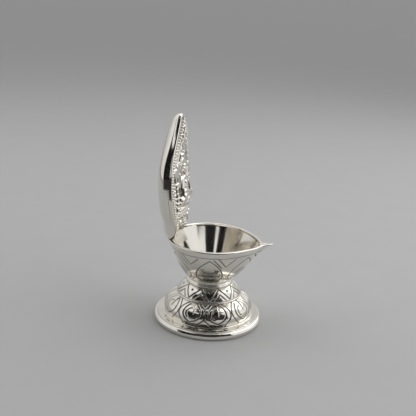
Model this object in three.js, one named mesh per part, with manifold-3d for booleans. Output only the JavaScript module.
// Silver oil lamp (diya): a round engraved foot, an oil bowl with a narrow beak, and an upright relief plate.
// Millimetres, +Z up. The origin is the centre of the foot's underside and the beak points along -Y.
import * as THREE from "three";
import { mergeVertices } from "three/addons/utils/BufferGeometryUtils.js";
import Module from "manifold-3d";

const wasm = await Module();
wasm.setup();

// Sheet and solder
const SHEET = 0.7; // thickness of the silver sheet
const SOLDER_GAP = 0.3; // room left between pieces that nest inside each other

// Foot
const FOOT_RADIUS = 20.4;
const FOOT_RING_HEIGHT = 2.2;
const FOOT_RING_WIDTH = 2.8;
const FOOT_ROLL = 1.1; // how far the ring's round side stands out past its flat faces
const VENT_RADIUS = 1;
const VENT_OFFSET = 9; // vent centre from the axis

// Scroll dome
const LEDGE_SETBACK = 1.1; // from the ring's widest line in to the edge of the dome's ledge
const DOME_RADIUS = 16.6;
const DOME_HEIGHT = 8.2;
const SHOULDER_RADIUS = 12;
const SEAT_WIDTH = 1.9; // flat seat on the dome for the collar

// Zigzag collar
const COLLAR_HEIGHT = 4.7;
const COLLAR_BEAD = 0.35; // the collar's lower edge stands out this far
const WAIST_RADIUS = 8.6;

// Neck ring
const NECK_HEIGHT = 2.4;
const NECK_COVE = 0.5; // depth of the hollow round the ring
const NECK_WALL = 2.4;

// Oil bowl
const BOWL_FOOT_RADIUS = 8.8;
const BOWL_HEIGHT = 14.8;
const RIM_RADIUS = 16.1; // outside of the wall just under the lip
const RIM_LIP = 0.45; // the lip turns out this far
const LIP_HEIGHT = 0.8;
const BEAK_REACH = 4.1; // narrow beak, past the swollen front of the rim
const BEAK_ANGLE = 0.07; // half width of the beak as an angle at the axis, radians
const BEAK_RISE = 0.3;
const FRONT_SWELL = 2.2; // the whole front of the bowl swells out to the beak
const FRONT_ANGLE = 0.45;
const FRONT_DIP = 0.45; // the rim sinks a little on both sides of the beak

// Upright plate
const PLATE_HEIGHT = 45; // above the rim
const PLATE_HALF_WIDTH = 12.9;
const PLATE_WIDEST_AT = 19.5; // height of the widest place above the rim
const PLATE_FOOT_HALF = 8.4; // half width where it meets the rim
const PLATE_TIP_HALF = 0.9;
const PLATE_DEPTH = 6.55; // lip plane to the crown of the back
const PLATE_ROUNDNESS = 2.4; // 2 is an elliptic back, more is boxier
const TIP_ROUNDNESS = 2;
const PLATE_FOOT_DEPTH = 0.5;
const PLATE_TIP_DEPTH = 1.85;
const PLATE_LEAN = 0.053; // backward slope of the lip plane
const PLATE_SET_BACK = 11.7; // lip plane behind the axis at rim height, if it were flat all the way down
const PLATE_BOW = 1.6; // the plate's sides lie this far behind its middle
const PLATE_FLAT_FROM = 9; // below this height the plate curves round to follow the rim
const PLATE_LIP = 0.8; // height of the lip at the front of the back shell
const APRON_DEPTH = 5; // the front sheet reaches this far down inside the bowl
const BEZEL = 1; // width and height of the bezel strip
const RELIEF_PLAIN = 0.6; // the sheet stays plain below this height
const SHALLOW = [14, 30, 33, 37]; // the relief sinks between the first two heights and rises again after
const SHALLOW_LOSS = 0.85;

// Relief on the front sheet, the same on both sides of its middle.
// Ovals: place across, height above the rim, half width, half height, rise
const OVALS = [
  [0, 5.3, 2.3, 2.3, 1.2], // rosette
  [4.9, 5.25, 2.5, 2.5, 0.9], // leaf scroll
  [7.5, 5.5, 0.6, 2.4, 0.8], // side leaves
  [0, 10.7, 7.5, 0.95, 1.2], // lower lotus petals
  [0, 12.2, 7.5, 1.9, 1.7], // lotus petals
  [0, 16.7, 3.5, 1.8, 1.9], // lap
  [0, 18.6, 2, 2.6, 1.9], // waist
  [0, 20.9, 2.75, 2.1, 2.2], // chest
  [4.4, 15.9, 0.75, 0.9, 2.4], // hand on the knee
  [5.6, 25.6, 0.9, 1.4, 1.3], // raised bud
  [0, 25.9, 3.7, 3.7, 0.75], // halo
  [0, 25, 1.5, 1.9, 2.35], // head
  [0, 28, 1.3, 1.8, 2.2], // crown
  [0, 29.9, 0.9, 1.7, 1.9], // point of the crown
  [8.3, 21.2, 2.3, 0.6, 1.5], // capital
  [8.4, 23.1, 1.9, 1.3, 1.3], // elephant's legs
  [8.5, 25.2, 2.35, 1.9, 2.1], // elephant's body
  [6.7, 27.3, 1.5, 1.6, 2.25], // elephant's head
  [0, 34.6, 1.9, 2.3, 1.4], // finial
  [0, 38.2, 0.8, 1.5, 1.2], // bud of the finial
];
// Limbs: from across and up, to across and up, half width, rise
const LIMBS = [
  [0, 2.1, 7.4, 2.1, 0.75, 0.85], // foot of the plinth
  [0, 8.9, 7.2, 8.9, 1.2, 0.9], // top of the plinth
  [0, 15.7, 5.7, 14.6, 1.6, 2.1], // thigh
  [0, 13.8, 5.6, 14.2, 1, 2.1], // shin
  [0.2, 22.1, 2.6, 21.9, 0.85, 1.7], // shoulder
  [2.7, 21.8, 4.4, 18.2, 0.85, 1.8], // lower arm
  [4.4, 18.2, 4.4, 16, 0.75, 1.8],
  [2.4, 22, 4.9, 21.1, 0.8, 1.3], // raised arm
  [4.9, 21.1, 5.5, 24, 0.7, 1.2],
  [8.4, 10.4, 8.6, 20.8, 1, 1.2], // pillar
  [5.9, 27.2, 4.5, 28.6, 0.75, 1.7], // trunk
  [4.5, 28.6, 2.4, 31, 0.55, 1.6],
];
const EDGE_BAND = [0.3, 2.8, 0.5]; // band along the edge: from, to, rise
const ARCH = [3.3, 0.6, 1]; // arch inside the band: distance from the edge, half width, rise
const ARCH_FROM = 23.5;

// Heights of the seams between the stacked pieces
const RING_TOP = FOOT_RING_HEIGHT;
const DOME_TOP = RING_TOP + DOME_HEIGHT;
const COLLAR_TOP = DOME_TOP + COLLAR_HEIGHT;
const NECK_TOP = COLLAR_TOP + NECK_HEIGHT;
const RIM_TOP = NECK_TOP + BOWL_HEIGHT;
const RING_BORE = FOOT_RADIUS - FOOT_RING_WIDTH;
const NECK_BORE = WAIST_RADIUS - NECK_WALL;
const TURN_STEPS = 48;
const BOWL_STEPS = 64;

const point = (r, z) => new THREE.Vector2(r, z);
const smooth = (from, to, value) => THREE.MathUtils.smoothstep(value, from, to);

function curve(a, b, c, d, steps) {
  return new THREE.CubicBezierCurve(a, b, c, d).getPoints(steps);
}

// A profile of radius against height, turned about Z. The seam lies along -Y.
function turned(profile, steps = TURN_STEPS) {
  const geometry = new THREE.LatheGeometry(profile, steps);
  geometry.rotateX(Math.PI / 2);
  return geometry;
}

function footRing() {
  const flat = FOOT_RADIUS - FOOT_ROLL;
  const pull = FOOT_RADIUS + FOOT_ROLL / 3;
  const side = curve(
    point(flat, 0),
    point(pull, FOOT_RING_HEIGHT * 0.1),
    point(pull, FOOT_RING_HEIGHT * 0.9),
    point(flat, FOOT_RING_HEIGHT),
    8,
  );
  const bore = point(RING_BORE, 0);
  return turned([bore, ...side, point(RING_BORE, FOOT_RING_HEIGHT), bore]);
}

function footDisc() {
  const shape = new THREE.Shape();
  shape.absarc(0, 0, RING_BORE - SOLDER_GAP / 2, 0, Math.PI * 2);
  const vent = new THREE.Path();
  vent.absarc(0, VENT_OFFSET, VENT_RADIUS, 0, Math.PI * 2);
  shape.holes.push(vent);
  return new THREE.ExtrudeGeometry(shape, { depth: SHEET, bevelEnabled: false, curveSegments: TURN_STEPS });
}

function scrollDome() {
  const ledge = RING_TOP + SHEET;
  const edge = FOOT_RADIUS - LEDGE_SETBACK;
  const rise = DOME_TOP - ledge;
  const side = (inset, from, to) =>
    curve(
      point(DOME_RADIUS - inset, from),
      point(DOME_RADIUS + 0.4 - inset, ledge + rise * 0.4),
      point(SHOULDER_RADIUS + 3.9 - inset, ledge + rise * 0.84 - inset / 2),
      point(SHOULDER_RADIUS - inset, to),
      8,
    );
  const foot = point(DOME_RADIUS - SHEET, RING_TOP);
  return turned([
    foot,
    point(edge, RING_TOP),
    point(edge, ledge - SHEET / 3),
    point(edge - SHEET / 3, ledge),
    ...side(0, ledge, DOME_TOP),
    point(SHOULDER_RADIUS - SEAT_WIDTH, DOME_TOP),
    point(SHOULDER_RADIUS - SEAT_WIDTH, DOME_TOP - SHEET),
    ...side(SHEET, RING_TOP, DOME_TOP - SHEET).reverse(),
  ]);
}

function zigzagCollar() {
  const side = (inset, from, to) =>
    curve(
      point(SHOULDER_RADIUS - inset, from),
      point(SHOULDER_RADIUS - 0.5 - inset, DOME_TOP + COLLAR_HEIGHT * 0.42),
      point(WAIST_RADIUS + 1.8 - inset, DOME_TOP + COLLAR_HEIGHT * 0.75 - inset / 2),
      point(WAIST_RADIUS - inset, to),
      6,
    );
  const inner = point(SHOULDER_RADIUS - SHEET - COLLAR_BEAD, DOME_TOP);
  return turned([
    inner,
    point(SHOULDER_RADIUS, DOME_TOP),
    point(SHOULDER_RADIUS + COLLAR_BEAD, DOME_TOP + COLLAR_BEAD * 0.6),
    point(SHOULDER_RADIUS + COLLAR_BEAD * 0.7, DOME_TOP + COLLAR_BEAD * 1.6),
    ...side(0, DOME_TOP + COLLAR_BEAD * 2, COLLAR_TOP),
    point(NECK_BORE, COLLAR_TOP),
    point(NECK_BORE, COLLAR_TOP - SHEET),
    ...side(SHEET + COLLAR_BEAD, DOME_TOP, COLLAR_TOP - SHEET).reverse(),
  ]);
}

function neckRing() {
  const bead = NECK_HEIGHT * 0.2;
  const waist = WAIST_RADIUS - NECK_COVE;
  const top = BOWL_FOOT_RADIUS - 0.2;
  const bore = point(NECK_BORE, COLLAR_TOP);
  return turned(
    [
      bore,
      point(WAIST_RADIUS - 0.3, COLLAR_TOP),
      point(WAIST_RADIUS, COLLAR_TOP + bead),
      point(waist + 0.1, COLLAR_TOP + bead * 2),
      point(waist - 0.1, COLLAR_TOP + bead * 3),
      point(top, NECK_TOP - bead),
      point(top - 0.2, NECK_TOP),
      point(NECK_BORE, NECK_TOP),
      bore,
    ],
    40,
  );
}

// Outside radius of the round bowl against height, before the beak is drawn out of it.
const WALL = new THREE.CubicBezierCurve(
  point(BOWL_FOOT_RADIUS, NECK_TOP),
  point(BOWL_FOOT_RADIUS + 2.1, NECK_TOP + BOWL_HEIGHT * 0.13),
  point(RIM_RADIUS - 2.5, NECK_TOP + BOWL_HEIGHT * 0.48),
  point(RIM_RADIUS, RIM_TOP - LIP_HEIGHT),
);

// The inside of the round bowl: the outer curve moved in by one sheet along its normal.
const INSIDE = WALL.getPoints(12).map((p, i) => {
  const slope = WALL.getTangent(i / 12);
  return point(p.x - slope.y * SHEET, p.y + slope.x * SHEET);
});

function insideRadius(z) {
  const after = INSIDE.findIndex((p) => p.y >= z);
  if (after < 0) {
    return RIM_RADIUS - SHEET;
  }
  const from = INSIDE[Math.max(after - 1, 0)];
  const to = INSIDE[Math.max(after, 1)];
  return from.x + ((to.x - from.x) * (z - from.y)) / (to.y - from.y);
}

function oilBowl() {
  const profile = [
    point(0, NECK_TOP),
    ...WALL.getPoints(10),
    point(RIM_RADIUS + RIM_LIP, RIM_TOP - LIP_HEIGHT / 2),
    point(RIM_RADIUS + RIM_LIP * 0.7, RIM_TOP),
    point(RIM_RADIUS - SHEET, RIM_TOP),
    ...INSIDE.filter((p, i) => i > 0 && i < 12 && p.y > NECK_TOP + SHEET).reverse(),
    point(BOWL_FOOT_RADIUS - SHEET, NECK_TOP + SHEET),
    point(0, NECK_TOP + SHEET),
  ];
  const geometry = turned(profile, BOWL_STEPS);
  const place = geometry.getAttribute("position");
  for (let i = 0; i < place.count; i++) {
    const [x, y, z] = [place.getX(i), place.getY(i), place.getZ(i)];
    const radius = Math.hypot(x, y);
    let turn = Math.atan2(x, -y);
    turn -= 0.72 * Math.sin(turn);
    const up = THREE.MathUtils.clamp((z - NECK_TOP) / BOWL_HEIGHT, 0, 1);
    const front = Math.exp(-((turn / FRONT_ANGLE) ** 2));
    const beak = Math.exp(-((turn / BEAK_ANGLE) ** 2));
    const reach = radius > 1e-6 ? FRONT_SWELL * front * up * (2 - up) + BEAK_REACH * beak * up ** 4 : 0;
    const lift = BEAK_RISE * beak * up ** 4 - FRONT_DIP * (front - beak) * up ** 4;
    place.setXYZ(i, (radius + reach) * Math.sin(turn), -(radius + reach) * Math.cos(turn), z + lift);
  }
  return geometry;
}

// Half width of the plate's outline against height above the rim.
const LOWER_SIDE = new THREE.CubicBezierCurve(
  point(PLATE_FOOT_HALF, 0),
  point(PLATE_FOOT_HALF + 0.9, PLATE_WIDEST_AT * 0.3),
  point(PLATE_HALF_WIDTH, PLATE_WIDEST_AT * 0.62),
  point(PLATE_HALF_WIDTH, PLATE_WIDEST_AT),
);
const UPPER_SIDE = new THREE.CubicBezierCurve(
  point(PLATE_HALF_WIDTH, PLATE_WIDEST_AT),
  point(PLATE_HALF_WIDTH, PLATE_WIDEST_AT + (PLATE_HEIGHT - PLATE_WIDEST_AT) * 0.4),
  point(PLATE_HALF_WIDTH * 0.56, PLATE_WIDEST_AT + (PLATE_HEIGHT - PLATE_WIDEST_AT) * 0.64),
  point(PLATE_TIP_HALF, PLATE_HEIGHT),
);
const SIDE = [...LOWER_SIDE.getPoints(60), ...UPPER_SIDE.getPoints(80).slice(1)];

function halfWidth(h) {
  if (h <= 0) {
    return PLATE_FOOT_HALF;
  }
  const after = Math.max(SIDE.findIndex((p) => p.y >= h), 1);
  const [from, to] = [SIDE[after - 1], SIDE[after]];
  return from.x + ((to.x - from.x) * (h - from.y)) / (to.y - from.y);
}

// How far behind the axis the lip plane lies: round the bowl's wall at the foot, flat and leaning above.
function lipPlane(x, h) {
  const bowl = insideRadius(Math.min(RIM_TOP + h, RIM_TOP));
  const round = Math.sqrt(Math.max(bowl * bowl - x * x, 1));
  const flat = PLATE_SET_BACK + PLATE_LEAN * h + PLATE_BOW * (x / PLATE_HALF_WIDTH) ** 2;
  return THREE.MathUtils.lerp(round, flat, smooth(0, PLATE_FLAT_FROM, h));
}

// A closed slab over rows of heights: across runs from -1 to 1 over the half width,
// and front and back are depths behind the lip plane.
function slab(heights, columns, half, front, back) {
  const across = Array.from({ length: columns + 1 }, (_, i) => Math.sin((i / columns - 0.5) * Math.PI));
  const vertices = [];
  for (const depth of [front, back]) {
    for (const h of heights) {
      for (const u of across) {
        const x = u * half(h);
        vertices.push(x, lipPlane(x, h) + depth(u, h, x), RIM_TOP + h);
      }
    }
  }
  const wide = columns + 1;
  const sheet = heights.length * wide;
  const index = [];
  const quad = (a, b, c, d) => index.push(a, b, c, a, c, d);
  for (let j = 0; j + 1 < heights.length; j++) {
    for (let i = 0; i < columns; i++) {
      const a = j * wide + i;
      quad(a, a + 1, a + wide + 1, a + wide);
      quad(sheet + a, sheet + a + wide, sheet + a + wide + 1, sheet + a + 1);
    }
    const [left, right] = [j * wide, j * wide + columns];
    quad(left, left + wide, sheet + left + wide, sheet + left);
    quad(right, sheet + right, sheet + right + wide, right + wide);
  }
  const top = sheet - wide;
  for (let i = 0; i < columns; i++) {
    quad(i, sheet + i, sheet + i + 1, i + 1);
    quad(top + i, top + i + 1, sheet + top + i + 1, sheet + top + i);
  }
  const geometry = new THREE.BufferGeometry();
  geometry.setAttribute("position", new THREE.Float32BufferAttribute(vertices, 3));
  geometry.setIndex(index);
  return geometry;
}

function rows(from, to, count) {
  return Array.from({ length: count + 1 }, (_, i) => from + ((to - from) * i) / count);
}

function toManifold(geometry) {
  geometry.deleteAttribute("normal");
  geometry.deleteAttribute("uv");
  const merged = mergeVertices(geometry, 1e-4);
  return new wasm.Manifold(
    new wasm.Mesh({
      numProp: 3,
      vertProperties: new Float32Array(merged.getAttribute("position").array),
      triVerts: new Uint32Array(merged.getIndex().array),
    }),
  );
}

function fromManifold(body) {
  const mesh = body.getMesh();
  const geometry = new THREE.BufferGeometry();
  geometry.setAttribute("position", new THREE.Float32BufferAttribute(mesh.vertProperties, 3));
  geometry.setIndex(Array.from(mesh.triVerts));
  return geometry;
}

// Depth of the plate's back at its middle, against height.
function crown(h) {
  const rise = smooth(-6, PLATE_WIDEST_AT * 0.57, h);
  const above = (h - PLATE_WIDEST_AT) / (PLATE_HEIGHT - PLATE_WIDEST_AT);
  const fall = THREE.MathUtils.clamp(above, 0, 1) ** 2.6;
  const low = THREE.MathUtils.lerp(PLATE_FOOT_DEPTH, PLATE_DEPTH, rise);
  return THREE.MathUtils.lerp(low, PLATE_TIP_DEPTH, fall);
}

function plateBack() {
  const bulge = (u, h) => {
    const above = (h - PLATE_WIDEST_AT) / (PLATE_HEIGHT - PLATE_WIDEST_AT);
    const power = THREE.MathUtils.lerp(PLATE_ROUNDNESS, TIP_ROUNDNESS, smooth(0.1, 0.7, above));
    return (crown(h) - PLATE_LIP) * (1 - Math.abs(u) ** power) ** (1 / power);
  };
  const outer = slab(
    rows(SOLDER_GAP, PLATE_HEIGHT, 20),
    14,
    halfWidth,
    () => 0,
    (u, h) => PLATE_LIP + bulge(u, h),
  );
  const inner = slab(
    rows(SOLDER_GAP + SHEET, PLATE_HEIGHT - 3 * SHEET, 18),
    12,
    (h) => halfWidth(h) - SHEET - 0.2,
    () => -1,
    (u, h) => PLATE_LIP - SHEET + Math.max(bulge(u, h), 0),
  );
  return fromManifold(toManifold(outer).subtract(toManifold(inner)));
}

// Distance of a place on the sheet from the plate's edge.
function fromEdge(x, h) {
  const slope = halfWidth(h + 0.5) - halfWidth(h - 0.5);
  return (halfWidth(h) - 0.6 * BEZEL - Math.abs(x)) / Math.hypot(1, slope);
}

function relief(x, h) {
  const side = Math.abs(x);
  const dome = (d, rise) => rise * Math.sqrt(Math.max(1 - d, 0));
  let height = 0;
  for (const [place, up, a, b, rise] of OVALS) {
    height = Math.max(height, dome(((side - place) / a) ** 2 + ((h - up) / b) ** 2, rise));
  }
  for (const [fromX, fromH, toX, toH, half, rise] of LIMBS) {
    const [dx, dh] = [toX - fromX, toH - fromH];
    const t = THREE.MathUtils.clamp(((side - fromX) * dx + (h - fromH) * dh) / (dx * dx + dh * dh), 0, 1);
    const far = Math.hypot(side - fromX - t * dx, h - fromH - t * dh);
    height = Math.max(height, dome((far / half) ** 2, rise));
  }
  const edge = fromEdge(x, h);
  if (edge > EDGE_BAND[0] && edge < EDGE_BAND[1]) {
    height = Math.max(height, EDGE_BAND[2]);
  }
  if (h > ARCH_FROM) {
    height = Math.max(height, dome(((edge - ARCH[0]) / ARCH[1]) ** 2, ARCH[2]));
  }
  const sunk = smooth(SHALLOW[0], SHALLOW[1], h) - smooth(SHALLOW[2], SHALLOW[3], h);
  return height * smooth(RELIEF_PLAIN, RELIEF_PLAIN + 0.7, h) * (1 - SHALLOW_LOSS * sunk);
}

const panelHalf = (h) => halfWidth(h) - BEZEL - SOLDER_GAP;

function plateFront() {
  const top = PLATE_HEIGHT - BEZEL - SOLDER_GAP - 1;
  const heights = [...rows(-APRON_DEPTH, 0, 5), ...rows(0, top, 62).slice(1)];
  return slab(
    heights,
    40,
    (h) => Math.max(panelHalf(h), 0.3),
    (u, h, x) => -SOLDER_GAP - SHEET - relief(x, h),
    () => -SOLDER_GAP,
  );
}

function plateBezel() {
  const strip = slab(
    rows(SOLDER_GAP, PLATE_HEIGHT, 22),
    6,
    halfWidth,
    () => -SOLDER_GAP - BEZEL,
    () => -SOLDER_GAP,
  );
  const middle = slab(
    rows(-1, PLATE_HEIGHT - BEZEL, 22),
    6,
    (h) => Math.max(halfWidth(h) - BEZEL, 0.3),
    () => -SOLDER_GAP - BEZEL - 1,
    () => 1,
  );
  return fromManifold(toManifold(strip).subtract(toManifold(middle)));
}

const SILVER = { color: 0xe9e6df, metalness: 1, roughness: 0.18 };
const CHASED = { color: 0xdcd8cf, metalness: 1, roughness: 0.3 };

const lamp = new THREE.Group();
lamp.name = "diya";

function add(name, geometry, finish) {
  const mesh = new THREE.Mesh(geometry, new THREE.MeshStandardMaterial(finish));
  mesh.name = name;
  lamp.add(mesh);
}

add("foot_ring", footRing(), SILVER);
add("foot_disc", footDisc(), SILVER);
add("scroll_dome", scrollDome(), CHASED);
add("zigzag_collar", zigzagCollar(), CHASED);
add("neck_ring", neckRing(), SILVER);
add("oil_bowl", oilBowl(), SILVER);
add("plate_back", plateBack(), SILVER);
add("plate_front", plateFront(), CHASED);
add("plate_bezel", plateBezel(), SILVER);

export default lamp;
